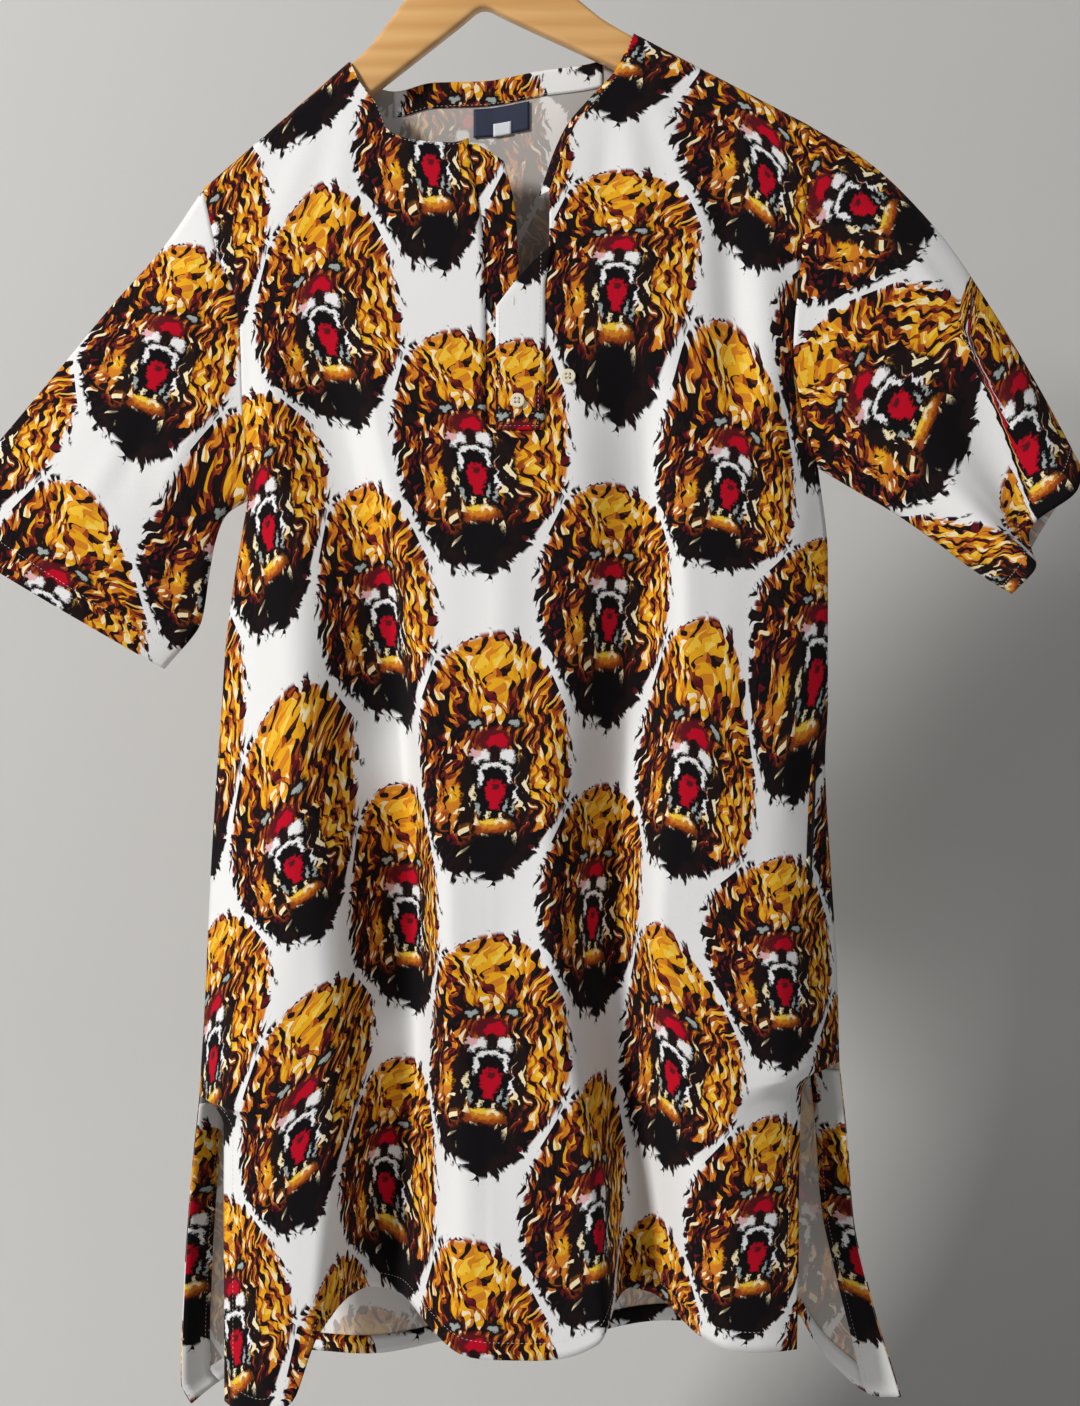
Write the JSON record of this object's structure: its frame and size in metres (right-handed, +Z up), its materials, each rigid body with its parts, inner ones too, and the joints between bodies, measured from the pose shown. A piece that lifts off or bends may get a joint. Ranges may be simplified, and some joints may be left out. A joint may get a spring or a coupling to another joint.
{
  "type": "isiagu shirt on a wooden hanger",
  "caption": "Long collarless printed isiagu shirt with short sleeves, half placket and side slits, hung on a plain wooden hanger with a steel hook.",
  "frame": {"origin": "underside of the hook's crown, where a rod carries the hanger", "axes": "-Y is the shirt's front, +Z up, +X towards the wearer's left sleeve"},
  "size_m": [0.816, 0.1236, 1.1091],
  "materials": {
    "printed_cloth": "smooth woven cotton with a lion-head print",
    "label_cloth": "navy woven label, bare",
    "tab_cloth": "white satin tape, bare",
    "button_resin": "cream resin",
    "hanger_wood": "honey varnish",
    "hook_steel": "bright plated wire"
  },
  "bodies": {
    "root": {"front_panel": "printed_cloth", "back_panel": "printed_cloth", "sleeve_left": "printed_cloth", "sleeve_right": "printed_cloth", "placket_overlap": "printed_cloth", "placket_underlap": "printed_cloth", "neck_facing_back": "printed_cloth", "neck_facing_front": "printed_cloth", "neck_label": "label_cloth", "size_tab": "tab_cloth", "button_placket": "button_resin", "button_front": "button_resin", "hanger_wood": "hanger_wood", "hanger_hook": "hook_steel"}
  },
  "joints": []
}
